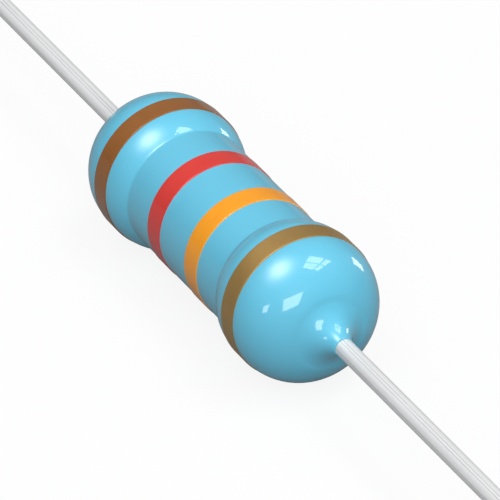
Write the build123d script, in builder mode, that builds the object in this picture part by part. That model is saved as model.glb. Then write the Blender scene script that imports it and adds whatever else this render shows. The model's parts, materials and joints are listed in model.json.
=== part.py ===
"""Axial-lead film power resistor with four colour bands.

A ceramic rod carries a resistive film that is cut into a helix. A drawn steel cap is pressed over
each end of the film, and a tinned copper wire is welded to each cap. A lacquer coat covers rod, film
and caps, follows the caps as two bulbs, and runs up each wire as a small cone. Four ink bands lie on
the coat. The axis is X, with the origin at mid-length and the first digit's band on the -X side.
All sizes are in millimetres.
"""

import os
from math import acos, atan2, cos, degrees, radians, sin, sqrt

from build123d import *

# Ceramic rod
core_diameter = 3.5
core_length = 10.3
core_chamfer = 0.4

# Resistive film and its helical cut
film_thickness = 0.03
film_cut_width = 0.2
film_cut_turns = 8
film_cut_margin = 0.8  # uncut film between a cap's mouth and the spiral

# End caps
cap_wall = 0.25
cap_floor = 0.25
cap_reach = 1.95  # how far the cap covers the rod
cap_corner = 0.6

# Lead wires
wire_diameter = 0.56
wire_free_length = 20.0  # from the coat's edge to the tip
wire_tip_chamfer = 0.05
weld_swell = 0.05  # how much the wire's radius grows towards the weld
weld_flare = 0.17  # radius of the fillet between wire and cap
plain_under_coat = 0.15  # the wire is full round from this far inside the coat's edge

# Lacquer coat
coat_on_film = 0.17
coat_on_cap = 0.22
coat_on_corner = 0.18  # over the cap's rounded edge, at 45 degrees
coat_on_end = 0.8  # over the cap's flat end
flank_lead = 0.6  # from the cap's mouth to where the bulb reaches its full diameter
foot_radius = 0.2
flank_radius = 1.75
cone_radius = 1.3
cone_edge_angle = radians(15)  # between the coat's surface and the wire, where the coat ends

# Colour bands
band_thickness = 0.02
crown_band_width = 0.72
waist_band_width = 0.77
digit_band_offset = 1.168  # from the middle of the print to the second and third bands
print_offset = 0.035  # how far all four bands sit towards +X

# Radii that follow from these
core_r = core_diameter / 2
film_r = core_r + film_thickness
cap_r = film_r + cap_wall
wire_r = wire_diameter / 2
neck_r = wire_r + weld_swell
weld_foot_r = neck_r + weld_flare
waist_r = film_r + coat_on_film
bulb_r = cap_r + coat_on_cap

# The dome is one arc: a corner's arc falls short of the corner by its radius times (sqrt(2) - 1)
square_corner_coat = (coat_on_cap + coat_on_end) / sqrt(2)
shoulder_radius = cap_corner + (square_corner_coat - coat_on_corner) / (sqrt(2) - 1)
shoulder_r = bulb_r - shoulder_radius
cone_r = wire_r + cone_radius * cos(cone_edge_angle)

# Places along the axis that follow from these
core_end = core_length / 2
cap_end = core_end + cap_floor
cap_mouth = core_end - cap_reach
flank_turn = acos(1 - (bulb_r - waist_r) / (foot_radius + flank_radius))
flank_x = cap_mouth + flank_lead
foot_x = flank_x - (foot_radius + flank_radius) * sin(flank_turn)
shoulder_x = cap_end + coat_on_end - shoulder_radius
crown_x = (flank_x + shoulder_x) / 2
cone_x = shoulder_x + sqrt((shoulder_radius + cone_radius) ** 2 - (cone_r - shoulder_r) ** 2)
coat_tip = cone_x - cone_radius * sin(cone_edge_angle)
wire_tip = coat_tip + wire_free_length


def coat_outline(lift=0.0):
    """The right half of the coat's outer edge, from mid-length to the wire, raised by lift."""
    waist = Line((0, waist_r + lift), (foot_x, waist_r + lift))
    foot = JernArc(waist @ 1, (1, 0), foot_radius - lift, degrees(flank_turn))
    flank = JernArc(foot @ 1, foot % 1, flank_radius + lift, -degrees(flank_turn))
    crown = Line(flank @ 1, (shoulder_x, bulb_r + lift))
    to_cone = degrees(atan2(cone_r - shoulder_r, cone_x - shoulder_x))
    shoulder = JernArc(crown @ 1, (1, 0), shoulder_radius + lift, to_cone - 90)
    cone_turn = 90 - to_cone - degrees(cone_edge_angle)
    JernArc(shoulder @ 1, shoulder % 1, cone_radius - lift, cone_turn)


def cap_outline():
    """The outside of a cap, from its mouth on the film to its flat end beside the weld."""
    mouth = Line((cap_mouth, film_r), (cap_mouth, cap_r))
    side = Line(mouth @ 1, (cap_end - cap_corner, cap_r))
    corner = RadiusArc(side @ 1, (cap_end, cap_r - cap_corner), cap_corner)
    Line(corner @ 1, (cap_end, weld_foot_r))


def weld_outline():
    """The wire's upset root: a flared foot on the cap, then a slight taper to the coat's edge."""
    root = RadiusArc((cap_end, weld_foot_r), (cap_end + weld_flare, neck_r), -weld_flare)
    Polyline(root @ 1, (coat_tip - plain_under_coat, wire_r), (coat_tip, wire_r))


with BuildPart() as ceramic_core:
    with BuildSketch(Plane.YZ):
        Circle(core_r)
    extrude(amount=core_length / 2, both=True)
    chamfer(ceramic_core.edges().filter_by(GeomType.CIRCLE), length=core_chamfer)

film_cut_length = 2 * (cap_mouth - film_cut_margin)

with BuildPart() as film_cutter:
    with BuildLine():
        spiral = Helix(
            pitch=film_cut_length / film_cut_turns,
            height=film_cut_length,
            radius=core_r + film_thickness / 2,
            center=(-film_cut_length / 2, 0, 0),
            direction=(1, 0, 0),
        )
    with BuildSketch(Plane(origin=spiral @ 0, x_dir=(1, 0, 0), z_dir=spiral % 0)):
        Rectangle(film_cut_width, 4 * film_thickness)
    sweep(path=spiral, is_frenet=True)

with BuildPart() as resistive_film:
    with BuildSketch(Plane.YZ):
        Circle(film_r)
        Circle(core_r, mode=Mode.SUBTRACT)
    extrude(amount=core_length / 2 - core_chamfer, both=True)
    add(film_cutter.part, mode=Mode.SUBTRACT)

with BuildPart() as end_cap_right:
    with BuildSketch(Plane.XZ):
        with BuildLine():
            cap_outline()
            inner_corner = cap_corner - cap_wall
            Polyline(
                (cap_end, weld_foot_r),
                (cap_end, 0),
                (core_end, 0),
                (core_end, film_r - inner_corner),
            )
            bend = RadiusArc(
                (core_end, film_r - inner_corner), (core_end - inner_corner, film_r), -inner_corner
            )
            Line(bend @ 1, (cap_mouth, film_r))
        make_face()
    revolve(axis=Axis.X)

with BuildPart() as lead_wire_right:
    with BuildSketch(Plane.XZ):
        with BuildLine():
            weld_outline()
            Polyline(
                (coat_tip, wire_r),
                (wire_tip - wire_tip_chamfer, wire_r),
                (wire_tip, wire_r - wire_tip_chamfer),
                (wire_tip, 0),
                (cap_end, 0),
                (cap_end, weld_foot_r),
            )
        make_face()
    revolve(axis=Axis.X)

with BuildPart() as lacquer_coat:
    with BuildSketch(Plane.XZ):
        with BuildLine():
            coat_outline()
            cap_outline()
            weld_outline()
            Polyline((cap_mouth, film_r), (0, film_r), (0, waist_r))
        make_face()
    revolve(axis=Axis.X)
    mirror(about=Plane.YZ)

with BuildPart() as end_cap_left:
    mirror(end_cap_right.part, about=Plane.YZ)

with BuildPart() as lead_wire_left:
    mirror(lead_wire_right.part, about=Plane.YZ)


def ink_band(centre, width):
    """A ring of ink on the right half of the coat, centred that far from mid-length."""
    with BuildPart() as ring:
        with BuildSketch(Plane.XZ):
            for lift, mode in ((band_thickness, Mode.ADD), (0, Mode.SUBTRACT)):
                with BuildLine() as outline:
                    coat_outline(lift)
                    edge = outline.vertices().sort_by(Axis.X)[-1]
                    Polyline(edge, (edge.X, 0), (0, 0), (0, waist_r + lift))
                make_face(mode=mode)
            with Locations((centre, 0)):
                Rectangle(width, 4 * bulb_r, mode=Mode.INTERSECT)
        revolve(axis=Axis.X)
    return ring.part


with BuildPart() as first_digit_band:
    mirror(ink_band(crown_x - print_offset, crown_band_width), about=Plane.YZ)

with BuildPart() as second_digit_band:
    mirror(ink_band(digit_band_offset - print_offset, waist_band_width), about=Plane.YZ)

with BuildPart() as multiplier_band:
    add(ink_band(digit_band_offset + print_offset, waist_band_width))

with BuildPart() as tolerance_band:
    add(ink_band(crown_x + print_offset, crown_band_width))

ceramic_core.part.label = "ceramic_core"
resistive_film.part.label = "resistive_film"
end_cap_left.part.label = "end_cap_left"
end_cap_right.part.label = "end_cap_right"
lead_wire_left.part.label = "lead_wire_left"
lead_wire_right.part.label = "lead_wire_right"
lacquer_coat.part.label = "lacquer_coat"
first_digit_band.part.label = "first_digit_band"
second_digit_band.part.label = "second_digit_band"
multiplier_band.part.label = "multiplier_band"
tolerance_band.part.label = "tolerance_band"

pieces = (
    ceramic_core,
    resistive_film,
    end_cap_left,
    end_cap_right,
    lead_wire_left,
    lead_wire_right,
    lacquer_coat,
    first_digit_band,
    second_digit_band,
    multiplier_band,
    tolerance_band,
)

os.makedirs("parts", exist_ok=True)
for piece in pieces:
    export_step(piece.part, f"parts/{piece.part.label}.step")
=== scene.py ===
"""Looks of an axial-lead film power resistor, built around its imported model.

The resistor lies along X with its centre at the origin. Its lacquer coat, colour bands and wires are
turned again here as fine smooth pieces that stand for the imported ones. The ceramic rod, the film and
the caps stay as packed, under the coat, and get materials of their own. Lengths are in metres.
"""

import json
from math import acos, atan2, cos, degrees, pi, radians, sin, sqrt

import bmesh
import bpy
from mathutils import Matrix, Vector


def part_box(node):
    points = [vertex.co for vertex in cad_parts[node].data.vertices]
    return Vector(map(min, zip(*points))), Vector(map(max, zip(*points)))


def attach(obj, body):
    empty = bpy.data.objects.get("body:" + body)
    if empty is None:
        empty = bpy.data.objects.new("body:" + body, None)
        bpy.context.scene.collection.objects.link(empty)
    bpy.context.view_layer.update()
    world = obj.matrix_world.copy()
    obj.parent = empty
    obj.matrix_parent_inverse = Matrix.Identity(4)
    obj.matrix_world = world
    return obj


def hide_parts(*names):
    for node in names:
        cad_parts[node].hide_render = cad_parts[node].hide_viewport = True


MM = 0.001

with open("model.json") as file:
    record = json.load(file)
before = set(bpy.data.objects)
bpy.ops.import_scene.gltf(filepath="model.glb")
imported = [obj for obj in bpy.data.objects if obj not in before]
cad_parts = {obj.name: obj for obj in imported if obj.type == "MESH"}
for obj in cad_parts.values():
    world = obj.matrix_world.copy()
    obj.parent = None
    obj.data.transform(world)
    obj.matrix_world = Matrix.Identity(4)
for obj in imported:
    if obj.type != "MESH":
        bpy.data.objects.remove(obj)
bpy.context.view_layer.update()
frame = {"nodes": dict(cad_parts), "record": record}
nodes = frame["nodes"]
mounts = {mount["name"]: mount for mount in frame["record"]["mounts"]}


# ---------------------------------------------------------------------------------------------
# Sizes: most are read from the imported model, and the coat's radii repeat the ones it was built with
# ---------------------------------------------------------------------------------------------

wire_r = mounts["lead_right"]["dims"]["r_mm"] * MM
wire_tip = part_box("lead_wire_right")[1].x
cap_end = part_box("end_cap_right")[1].x
cap_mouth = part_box("end_cap_right")[0].x
cap_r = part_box("end_cap_right")[1].z
film_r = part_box("resistive_film")[1].z
bulb_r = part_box("lacquer_coat")[1].z
coat_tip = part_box("lacquer_coat")[1].x
crown_band_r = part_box("tolerance_band")[1].z
band_thickness = crown_band_r - bulb_r
waist_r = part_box("multiplier_band")[1].z - band_thickness
weld_foot_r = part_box("lead_wire_right")[1].z

foot_radius = 0.2 * MM
flank_radius = 1.75 * MM
flank_lead = 0.6 * MM
coat_on_end = 0.8 * MM
cone_radius = 1.3 * MM
cone_edge_angle = radians(15)
cap_corner = 0.6 * MM
weld_flare = 0.17 * MM
plain_under_coat = 0.15 * MM

flank_turn = acos(1 - (bulb_r - waist_r) / (foot_radius + flank_radius))
flank_x = cap_mouth + flank_lead
foot_x = flank_x - (foot_radius + flank_radius) * sin(flank_turn)
crown_x = (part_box("tolerance_band")[0].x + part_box("tolerance_band")[1].x) / 2
shoulder_x = 2 * crown_x - flank_x
shoulder_radius = cap_end + coat_on_end - shoulder_x
shoulder_r = bulb_r - shoulder_radius
cone_x = coat_tip + cone_radius * sin(cone_edge_angle)
cone_r = wire_r + cone_radius * cos(cone_edge_angle)
cone_turn = atan2(cone_r - shoulder_r, cone_x - shoulder_x)
floor_z = -crown_band_r


# ---------------------------------------------------------------------------------------------
# Camera
# ---------------------------------------------------------------------------------------------


def direction(azimuth, elevation):
    """The unit vector towards a place round the object; azimuth 0 is -Y and 90 is +X."""
    a = radians(azimuth)
    e = radians(elevation)
    return Vector((sin(a) * cos(e), -cos(a) * cos(e), sin(e)))


def across_from(azimuth, elevation):
    """The directions to the right, up and back of an eye that looks from there at the object."""
    back = direction(azimuth, elevation)
    right = Vector((cos(radians(azimuth)), sin(radians(azimuth)), 0))
    return right, back.cross(right), back


def facing(place, right, up, back):
    """The placing of a camera or lamp that stands at place and looks away from back."""
    return Matrix.Translation(place) @ Matrix((right, up, back)).transposed().to_4x4()


def add_camera():
    """A long lens, above the near end and looking down along the body."""
    distance = 222.7 * MM
    aim_along = 1.033 * MM
    aim_shift = 0.049 * MM
    data = bpy.data.cameras.new("camera")
    data.sensor_width = 36
    data.lens = 558.9
    data.clip_start = 0.01
    data.clip_end = 20
    right, up, back = across_from(62.75, 31.0)
    aim = Vector((aim_along, 0, 0)) + aim_shift * (right + up)
    camera = bpy.data.objects.new("camera", data)
    camera.matrix_world = facing(aim + distance * back, right, up, back)
    bpy.context.scene.collection.objects.link(camera)
    bpy.context.scene.camera = camera


add_camera()


# ---------------------------------------------------------------------------------------------
# Shader maths
# ---------------------------------------------------------------------------------------------


class Signal:
    """A shader socket that can be used in Python expressions; each operator adds a Math node."""

    def __init__(self, recipe, socket):
        self.recipe = recipe
        self.socket = socket

    def math(self, operation, *values):
        return self.recipe.node("ShaderNodeMath", {"operation": operation}, values)

    def absolute(self):
        return self.math("ABSOLUTE", self)

    def at_least(self, low):
        return self.math("MAXIMUM", self, low)

    def __add__(self, other):
        return self.math("ADD", self, other)

    def __sub__(self, other):
        return self.math("SUBTRACT", self, other)

    def __rsub__(self, other):
        return self.math("SUBTRACT", other, self)

    def __mul__(self, other):
        return self.math("MULTIPLY", self, other)

    def __truediv__(self, other):
        return self.math("DIVIDE", self, other)

    def __gt__(self, other):
        return self.math("GREATER_THAN", self, other)

    __radd__ = __add__
    __rmul__ = __mul__


class Recipe:
    """The node tree of one material, or of the world."""

    def __init__(self, tree):
        self.tree = tree
        tree.nodes.clear()

    def node(self, kind, settings=None, values=(), output=0):
        """Adds a node, with its settings first and then its sockets' values or links."""
        made = self.tree.nodes.new(kind)
        for name, setting in (settings or {}).items():
            setattr(made, name, setting)
        for key, value in values.items() if isinstance(values, dict) else enumerate(values):
            if isinstance(value, Signal):
                self.tree.links.new(value.socket, made.inputs[key])
            else:
                made.inputs[key].default_value = value
        return Signal(self, made.outputs[output]) if made.outputs else None

    def place(self, scale=(1, 1, 1)):
        """Object coordinates, stretched by scale."""
        coordinates = self.node("ShaderNodeTexCoord", output="Object")
        return self.node("ShaderNodeMapping", None, {"Vector": coordinates, "Scale": scale})

    def noise(self, place, scale, detail=2.0, roughness=0.5):
        """Smooth noise, centred on a half."""
        values = {"Vector": place, "Scale": scale, "Detail": detail, "Roughness": roughness}
        return self.node("ShaderNodeTexNoise", None, values)

    def mix(self, factor, first, second):
        """A colour between two colours."""
        values = {0: factor, 6: rgba(first), 7: rgba(second)}
        return self.node("ShaderNodeMix", {"data_type": "RGBA"}, values, 2)

    def bump(self, height, distance):
        """A surface normal that follows a height, whose full range is distance."""
        return self.node("ShaderNodeBump", None, {"Height": height, "Distance": distance})


def rgba(colour):
    """Adds an alpha to a plain colour; a link is passed on."""
    return colour if isinstance(colour, Signal) else (*colour, 1)


def surface(name, values_of):
    """A material whose Principled sockets come from values_of(recipe)."""
    material = bpy.data.materials.new(name)
    material.use_nodes = True
    recipe = Recipe(material.node_tree)
    shader = recipe.node("ShaderNodeBsdfPrincipled", None, values_of(recipe))
    recipe.node("ShaderNodeOutputMaterial", None, {"Surface": shader})
    return material


# ---------------------------------------------------------------------------------------------
# Materials
# ---------------------------------------------------------------------------------------------


def lacquer(recipe):
    """Glossy pale blue lacquer: faint clouding in the colour, and a fine orange peel."""
    place = recipe.place()
    clouds = recipe.noise(place, 900, 3)
    colour = recipe.mix(clouds, (0.12, 0.5, 0.675), (0.136, 0.534, 0.725))
    peel = recipe.noise(place, 2600, 1)
    dust = recipe.noise(place, 9000, 2)
    height = peel * 0.8 + dust * 0.2
    return {
        "Base Color": colour,
        "Roughness": 0.4 + (clouds - 0.5) * 0.1,
        "Specular IOR Level": 0.15,
        "Coat Weight": 1.0,
        "Coat Roughness": 0.03,
        "Normal": recipe.bump(height, 0.0006 * MM),
    }


def paint(light, dark):
    """The material of a band of glossy paint, a little uneven in how thickly it lies."""

    def values(recipe):
        place = recipe.place()
        cover = recipe.noise(place, 2200, 3)
        return {
            "Base Color": recipe.mix(cover, dark, light),
            "Roughness": 0.4 + (cover - 0.5) * 0.1,
            "Specular IOR Level": 0.15,
            "Coat Weight": 0.8,
            "Coat Roughness": 0.06,
            "Normal": recipe.bump(cover, 0.0006 * MM),
        }

    return values


def gold_paint(recipe):
    """Gold bronze paint: metallic flakes in a tan binder."""
    place = recipe.place()
    flakes = recipe.noise(place, 26000, 2, 0.7)
    cover = recipe.noise(place, 1500, 2)
    shine = flakes * 0.6 + cover * 0.4
    return {
        "Base Color": recipe.mix(shine, (0.34, 0.195, 0.048), (0.49, 0.305, 0.1)),
        "Metallic": 0.6 + (flakes - 0.5) * 0.4,
        "Roughness": 0.5 + (flakes - 0.5) * 0.2,
        "Coat Weight": 0.3,
        "Coat Roughness": 0.08,
        "Normal": recipe.bump(flakes, 0.0008 * MM),
    }


def tinned_wire(recipe):
    """Tin with dark lines along the wire, partly die lines and partly painted reflections, and bare
    copper on the cut tip.
    """
    place = recipe.node("ShaderNodeTexCoord", output="Object")
    along, across, upright = (
        recipe.node("ShaderNodeSeparateXYZ", None, [place], axis) for axis in "XYZ"
    )
    turn = upright.math("ARCTAN2", upright, across)
    line_sharpness = 9.0
    die_lines_and_painted_reflections = 0.0
    # Dark lines painted at fixed turns round the wire: those at 100 and 118 are painted reflections of
    # dark things round the wire, the others stand for die lines
    for angle, line_weight in ((100, 0.9), (118, 1.0), (172, 0.7), (34, 0.6), (251, 0.9), (-44, 0.8)):
        away = (turn - radians(angle)).absolute()
        die_lines_and_painted_reflections = die_lines_and_painted_reflections + (away * -line_sharpness + 1.0).at_least(0.0) * line_weight
    fine = recipe.noise(recipe.place((0.002, 1, 1)), 22000, 2, 0.6)
    patches = recipe.noise(recipe.place((0.1, 1, 1)), 3500, 3)
    # The tone mixes random wear and grain with the painted reflection lines, and the bump follows both
    wear_and_painted_reflections = die_lines_and_painted_reflections * 0.7 + (fine - 0.5) * 0.9 + (patches - 0.5) * 0.3
    tone = recipe.mix(wear_and_painted_reflections, (0.85, 0.845, 0.835), (0.34, 0.34, 0.34))
    cut_face = along.absolute() > wire_tip - 0.012 * MM
    return {
        "Base Color": recipe.mix(cut_face, tone, (0.72, 0.3, 0.16)),
        "Metallic": 0.2,
        "Roughness": 0.24 + fine * 0.1,
        "Normal": recipe.bump(wear_and_painted_reflections, -0.003 * MM),
    }


def ceramic(recipe):
    """Dense white ceramic, ground to a fine matt grain."""
    place = recipe.place()
    grain = recipe.noise(place, 12000, 4, 0.6)
    return {
        "Base Color": recipe.mix(grain, (0.74, 0.71, 0.64), (0.86, 0.84, 0.79)),
        "Roughness": 0.62 + (grain - 0.5) * 0.2,
        "Normal": recipe.bump(grain, 0.004 * MM),
    }


def metal_film(recipe):
    """A dark metal film, slightly mottled by the ceramic under it."""
    place = recipe.place()
    mottle = recipe.noise(place, 7000, 4, 0.6)
    return {
        "Base Color": recipe.mix(mottle, (0.085, 0.08, 0.078), (0.16, 0.152, 0.148)),
        "Metallic": 0.8,
        "Roughness": 0.34 + (mottle - 0.5) * 0.2,
        "Normal": recipe.bump(mottle, 0.002 * MM),
    }


def cap_steel(recipe):
    """Plated steel with drawing marks along the cap's side."""
    marks = recipe.noise(recipe.place((0.05, 1, 1)), 14000, 3, 0.6)
    return {
        "Base Color": recipe.mix(marks, (0.5, 0.49, 0.46), (0.66, 0.65, 0.62)),
        "Metallic": 1.0,
        "Roughness": 0.26 + (marks - 0.5) * 0.2,
        "Normal": recipe.bump(marks, 0.003 * MM),
    }


finishes = {
    "lacquer": surface("blue_lacquer", lacquer),
    "brown_ink": surface("brown_paint", paint((0.29, 0.106, 0.02), (0.245, 0.084, 0.014))),
    "red_ink": surface("red_paint", paint((0.7, 0.046, 0.036), (0.63, 0.036, 0.028))),
    "orange_ink": surface("orange_paint", paint((0.95, 0.36, 0.014), (0.88, 0.31, 0.01))),
    "gold_ink": surface("gold_paint", gold_paint),
    "tinned_wire": surface("tinned_wire", tinned_wire),
    "cap_steel": surface("cap_steel", cap_steel),
    "film": surface("metal_film", metal_film),
    "ceramic": surface("white_ceramic", ceramic),
}


# ---------------------------------------------------------------------------------------------
# Turned pieces
# ---------------------------------------------------------------------------------------------

TURN_STEPS = 192
ARC_STEP = 3


def arc(centre, radius, start, end):
    """Points (along the axis, away from it) on an arc, its angles in degrees from +X."""
    steps = max(2, round(abs(end - start) / ARC_STEP))
    angles = [radians(start + (end - start) * i / steps) for i in range(steps + 1)]
    return [(centre[0] + radius * cos(a), centre[1] + radius * sin(a)) for a in angles]


def mirrored(points):
    """The same outline on the left half, in the opposite order."""
    return [(-x, r) for x, r in reversed(points)]


def turned(name, outline, slot, replaced):
    """A piece turned about X from an outline that is closed, or that ends on the axis."""
    closed = outline[0][1] > 0
    mesh = bmesh.new()
    verts = [mesh.verts.new((x, 0, r)) for x, r in outline]
    ring = verts + verts[:1] if closed else verts
    edges = [mesh.edges.new(pair) for pair in zip(ring, ring[1:])]
    bmesh.ops.spin(
        mesh,
        geom=verts + edges,
        cent=(0, 0, 0),
        axis=(1, 0, 0),
        angle=2 * pi,
        steps=TURN_STEPS,
        use_merge=True,
    )
    bmesh.ops.remove_doubles(mesh, verts=mesh.verts, dist=1e-9)
    bmesh.ops.recalc_face_normals(mesh, faces=mesh.faces)
    data = bpy.data.meshes.new(name)
    mesh.to_mesh(data)
    mesh.free()
    data.shade_smooth()
    piece = bpy.data.objects.new(name, data)
    bpy.context.scene.collection.objects.link(piece)
    data.materials.append(finishes[slot])
    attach(piece, "root")
    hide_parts(replaced)
    return piece


def weld_outline():
    """The wire's root, from the cap to the coat's edge."""
    flare = arc((cap_end + weld_flare, weld_foot_r), weld_flare, 180, 270)
    return flare + [(coat_tip - plain_under_coat, wire_r), (coat_tip, wire_r)]


def coat_outline():
    """The right half of the coat's outer surface, from mid-length to the wire."""
    turn = degrees(flank_turn)
    cone = degrees(cone_turn)
    edge = degrees(cone_edge_angle)
    waist = [(foot_x * i / 12, waist_r) for i in range(12)]
    foot = arc((foot_x, waist_r + foot_radius), foot_radius, -90, turn - 90)
    flank = arc((flank_x, bulb_r - flank_radius), flank_radius, 90 + turn, 90)
    shoulder = arc((shoulder_x, shoulder_r), shoulder_radius, 90, cone)
    neck = arc((cone_x, cone_r), cone_radius, 180 + cone, 270 - edge)
    return waist + foot[:-1] + flank + shoulder[:-1] + neck


def coat_inside():
    """The right half of the coat's inner surface, from the wire back to mid-length."""
    corner = arc((cap_end - cap_corner, cap_r - cap_corner), cap_corner, 0, 90)
    return weld_outline()[-2::-1] + corner + [(cap_mouth, cap_r), (cap_mouth, film_r)]


def coat_radius(x):
    """The coat's outer radius anywhere along its waist and bulbs."""
    x = abs(x)
    if x < foot_x:
        return waist_r
    if x < foot_x + foot_radius * sin(flank_turn):
        return waist_r + foot_radius - sqrt(foot_radius**2 - (x - foot_x) ** 2)
    if x < flank_x:
        return bulb_r - flank_radius + sqrt(flank_radius**2 - (flank_x - x) ** 2)
    if x < shoulder_x:
        return bulb_r
    return shoulder_r + sqrt(shoulder_radius**2 - (x - shoulder_x) ** 2)


def add_coat():
    """The lacquer coat, closed inside and out."""
    outside = coat_outline()
    inside = coat_inside()
    outline = outside + inside + mirrored(inside) + mirrored(outside)[:-1]
    turned("blue_coat", outline, "lacquer", "lacquer_coat")


def add_band(name, slot, replaced):
    """A ring of paint on the coat, thinning to nothing at both of its rounded edges."""
    low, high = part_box(replaced)
    middle = (low.x + high.x) / 2
    half = (high.x - low.x) / 2
    rounding = 0.03 * MM
    edge_steps = 6
    flat_steps = 10
    sweep = [1 - sin(pi / 2 * i / edge_steps) for i in range(edge_steps + 1)]
    far_edge = [half - rounding * s for s in sweep]
    near_edge = [-offset for offset in reversed(far_edge)]
    flat = [(half - rounding) * i / flat_steps for i in range(-flat_steps + 1, flat_steps)]
    across = near_edge + flat + far_edge
    top = []
    for offset in across:
        inset = max(0.0, (abs(offset) - (half - rounding)) / rounding)
        lift = band_thickness * sqrt(max(0.0, 1 - inset**2))
        top.append((middle + offset, coat_radius(middle + offset) + lift))
    under = [(x, coat_radius(x)) for x, r in reversed(top[1:-1])]
    turned(name, top + under, slot, replaced)


def add_wire(name, replaced, side):
    """A lead, from its weld on the cap to its clipped tip."""
    tip_radius = 0.045 * MM
    start = weld_outline()
    plain = [(coat_tip + (wire_tip - tip_radius - coat_tip) * i / 8, wire_r) for i in range(1, 8)]
    tip = arc((wire_tip - tip_radius, wire_r - tip_radius), tip_radius, 90, 0)
    outline = [(cap_end, 0)] + start + plain + tip + [(wire_tip, 0)]
    turned(name, [(side * x, r) for x, r in outline], "tinned_wire", replaced)


add_coat()
add_band("brown_band", "brown_ink", "first_digit_band")
add_band("red_band", "red_ink", "second_digit_band")
add_band("orange_band", "orange_ink", "multiplier_band")
add_band("gold_band", "gold_ink", "tolerance_band")
add_wire("left_wire", "lead_wire_left", -1)
add_wire("right_wire", "lead_wire_right", 1)

for node, slot in (
    ("ceramic_core", "ceramic"),
    ("resistive_film", "film"),
    ("end_cap_left", "cap_steel"),
    ("end_cap_right", "cap_steel"),
):
    nodes[node].data.materials.clear()
    nodes[node].data.materials.append(finishes[slot])


# ---------------------------------------------------------------------------------------------
# Floor, lamps and sky
# ---------------------------------------------------------------------------------------------

WINDOW_LIGHT = 6.5
BROAD_LIGHT = 2.02
SKY_EVEN = 0.1
SKY_OVERHEAD = 0.26  # added straight overhead
GLOW_LIGHT = 12.0
GLOW_DIFFUSE_SHARE = 0.15  # how much of the glow falls on matt surfaces
REFLECTED_SHARE = 0.05  # how much of the white floor and sky shows in reflections
FLOOR_RADIUS = 1.2
FLOOR_BOUNCE = (0.22, 0.22, 0.22)
FLOOR_SEEN = (0.78, 0.78, 0.78)
FLOOR_GLOW_SHARE = 0.88  # how much of the seen floor is plain white, free of shadow


def seen_directly(recipe, in_reflections):
    """1 for camera rays, and the share given for glossy and transmission rays, else 0."""
    camera, glossy, through = (
        recipe.node("ShaderNodeLightPath", output=ray)
        for ray in ("Is Camera Ray", "Is Glossy Ray", "Is Transmission Ray")
    )
    return camera + (glossy + through) * in_reflections


def add_floor():
    """A floor that is nearly white to the eye, with a soft shadow, and that bounces little light."""
    material = bpy.data.materials.new("pale_floor")
    material.use_nodes = True
    recipe = Recipe(material.node_tree)
    seen = seen_directly(recipe, REFLECTED_SHARE)
    tone = recipe.mix(seen, FLOOR_BOUNCE, FLOOR_SEEN)
    lit = recipe.node("ShaderNodeBsdfDiffuse", None, {"Color": tone})
    white = recipe.node("ShaderNodeEmission", None, {"Color": (1, 1, 1, 1)})
    shown = recipe.node("ShaderNodeMixShader", None, [seen * FLOOR_GLOW_SHARE, lit, white])
    recipe.node("ShaderNodeOutputMaterial", None, {"Surface": shown})
    mesh = bmesh.new()
    bmesh.ops.create_circle(mesh, cap_ends=True, segments=96, radius=FLOOR_RADIUS)
    bmesh.ops.translate(mesh, verts=mesh.verts, vec=(0, 0, floor_z))
    data = bpy.data.meshes.new("floor")
    mesh.to_mesh(data)
    mesh.free()
    data.materials.append(material)
    floor = bpy.data.objects.new("floor", data)
    bpy.context.scene.collection.objects.link(floor)


def glowing():
    """The material of the windows."""
    material = bpy.data.materials.new("window_light")
    material.use_nodes = True
    recipe = Recipe(material.node_tree)
    values = {"Color": (1, 1, 1, 1), "Strength": WINDOW_LIGHT}
    light = recipe.node("ShaderNodeEmission", None, values)
    recipe.node("ShaderNodeOutputMaterial", None, {"Surface": light})
    return material


def add_window(name, light, azimuth, elevation, corners, bars=()):
    """A bright window one metre away, given as its corners in its own plane, from the top left.

    bars are the places of a glazing bar from left to right and of one from top to bottom.
    """
    right, up, back = across_from(azimuth, elevation)
    half_bar = 0.035
    sides = [0.0, 1.0]
    rows = [0.0, 1.0]
    if bars:
        sides = [0.0, bars[0] - half_bar, bars[0] + half_bar, 1.0]
        rows = [0.0, bars[1] - half_bar, bars[1] + half_bar, 1.0]
    top_left, top_right, low_right, low_left = (back + right * u + up * v for u, v in corners)
    mesh = bmesh.new()
    for left_edge, right_edge in zip(sides[::2], sides[1::2]):
        for top_edge, low_edge in zip(rows[::2], rows[1::2]):
            pane = []
            for side, row in (
                (left_edge, top_edge),
                (right_edge, top_edge),
                (right_edge, low_edge),
                (left_edge, low_edge),
            ):
                top = top_left.lerp(top_right, side)
                low = low_left.lerp(low_right, side)
                pane.append(mesh.verts.new(top.lerp(low, row)))
            mesh.faces.new(pane)
    bmesh.ops.recalc_face_normals(mesh, faces=mesh.faces)
    data = bpy.data.meshes.new(name)
    mesh.to_mesh(data)
    mesh.free()
    data.materials.append(light)
    window = bpy.data.objects.new(name, data)
    window.visible_camera = False
    bpy.context.scene.collection.objects.link(window)


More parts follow.
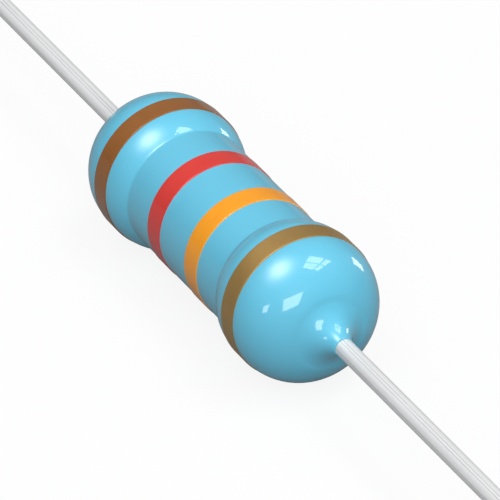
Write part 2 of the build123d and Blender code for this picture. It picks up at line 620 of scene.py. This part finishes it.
def add_lamps():
    """Windows round the object, whose glints show on the lacquer, and one broad soft lamp."""
    roof = (-0.2, 0.38), (0.22, 0.27), (0.23, -0.24), (-0.23, -0.02)
    front = (-0.29, 0.05), (0.24, 0.22), (0.15, -0.13), (-0.27, -0.26)
    side = (-0.13, 0.15), (0.08, 0.11), (0.05, -0.11), (-0.07, -0.13)
    small = (-0.08, 0.04), (0.09, 0.13), (0.08, -0.07), (-0.06, -0.13)
    light = glowing()
    add_window("roof_window", light, 152, 63, roof, bars=(0.47, 0.72))
    add_window("front_window", light, 62, 27, front)
    add_window("side_window", light, -165, 8, side)
    add_window("small_window", light, 16, 12, small)
    right, up, back = across_from(68, 47)
    data = bpy.data.lights.new("broad_lamp", "AREA")
    data.shape = "RECTANGLE"
    data.size = 1.2
    data.size_y = 1.0
    data.energy = BROAD_LIGHT * pi * data.size * data.size_y
    data.color = 0.95, 1.0, 1.06
    lamp = bpy.data.objects.new("broad_lamp", data)
    lamp.matrix_world = facing(back, right, up, back)
    lamp.visible_camera = False
    lamp.visible_glossy = False
    bpy.context.scene.collection.objects.link(lamp)


def add_sky():
    """Pale light from all round, brighter overhead, with one broad soft glow high on the left."""
    world = bpy.data.worlds.new("studio")
    world.use_nodes = True
    bpy.context.scene.world = world
    recipe = Recipe(world.node_tree)
    seen = seen_directly(recipe, 1.0)
    place = recipe.node("ShaderNodeTexCoord", output="Generated")
    glow_direction = tuple(direction(-18, 64))
    towards = recipe.node(
        "ShaderNodeVectorMath", {"operation": "DOT_PRODUCT"}, [place, glow_direction], "Value"
    )
    glow_width = 0.19
    glow = towards.math("EXPONENT", (towards - 1.0) / glow_width**2)
    overhead = recipe.node(
        "ShaderNodeVectorMath", {"operation": "DOT_PRODUCT"}, [place, (0, 0, 1)], "Value"
    )
    even = SKY_EVEN + overhead.at_least(0.0) * SKY_OVERHEAD
    strength = even + glow * GLOW_LIGHT * (GLOW_DIFFUSE_SHARE + seen * (1 - GLOW_DIFFUSE_SHARE))
    white = seen_directly(recipe, REFLECTED_SHARE)
    shown = strength * (1.0 - white) + white
    background = recipe.node(
        "ShaderNodeBackground", None, {"Color": (1, 1, 1, 1), "Strength": shown}
    )
    recipe.node("ShaderNodeOutputWorld", None, {"Surface": background})


add_floor()
add_lamps()
add_sky()
bpy.context.scene.view_settings.view_transform = "Standard"
